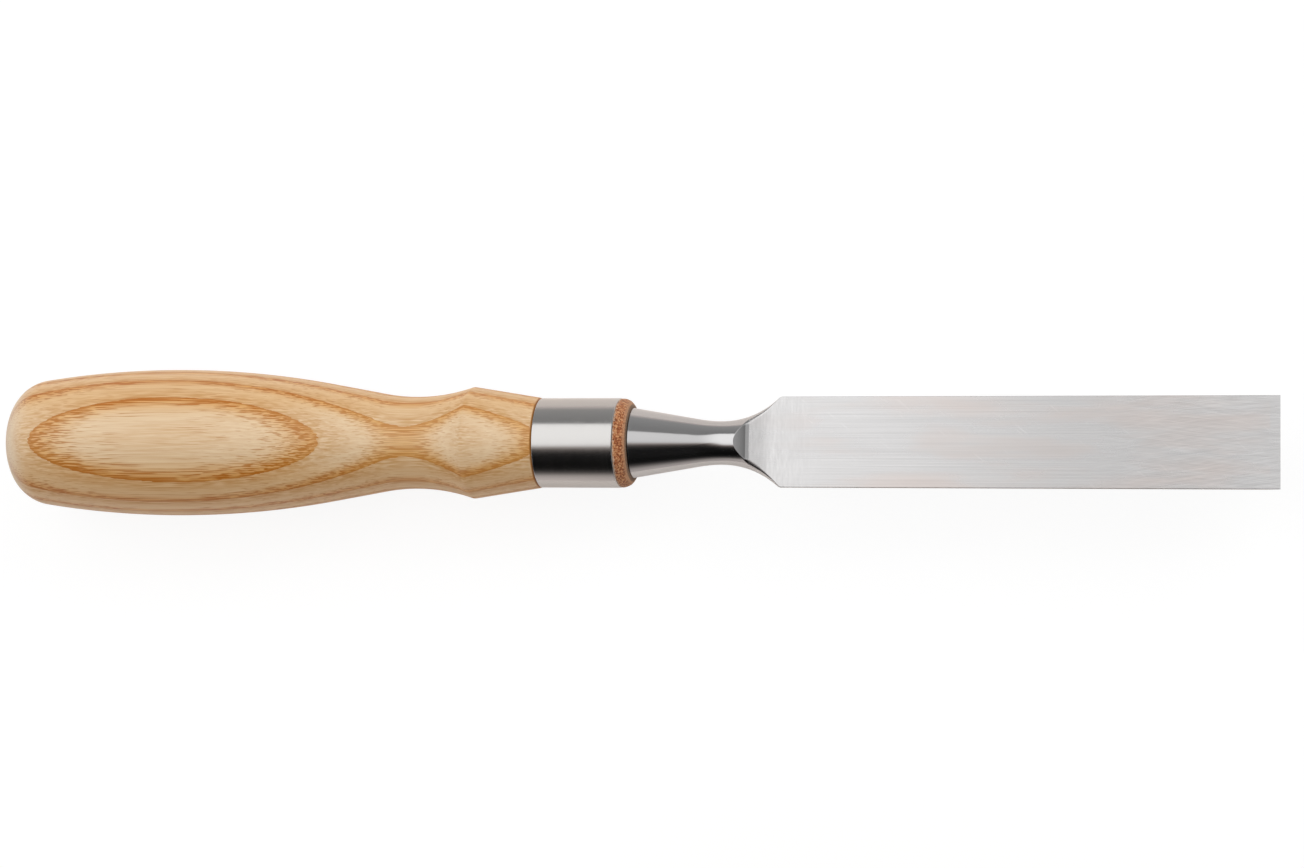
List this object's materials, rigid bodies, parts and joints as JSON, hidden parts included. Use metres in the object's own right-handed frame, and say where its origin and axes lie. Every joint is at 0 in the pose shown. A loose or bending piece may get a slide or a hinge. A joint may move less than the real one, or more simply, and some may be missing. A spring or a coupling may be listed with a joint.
{
  "type": "bevel edge chisel",
  "caption": "Bench chisel with a bevelled steel blade, round forged neck, leather washer, steel ferrule and turned ash handle, for paring and chopping wood.",
  "frame": {"origin": "under the middle of the tool's length, at the height of the handle's lowest point, so that z = 0 is the bench it lies on", "axes": "+X along the tool towards the cutting edge, +Z the way the flat back faces, +Y across the blade"},
  "size_m": [0.2894, 0.0336, 0.0337],
  "materials": {
    "blade_steel": "ground and lapped flat back, polished neck",
    "leather": "vegetable tanned, cut and skived edge",
    "ferrule_steel": "polished stainless tube",
    "ash": "turned ash, clear satin lacquer"
  },
  "bodies": {
    "root": {"blade": "blade_steel", "leather_washer": "leather", "ferrule": "ferrule_steel", "handle": "ash"}
  },
  "joints": []
}
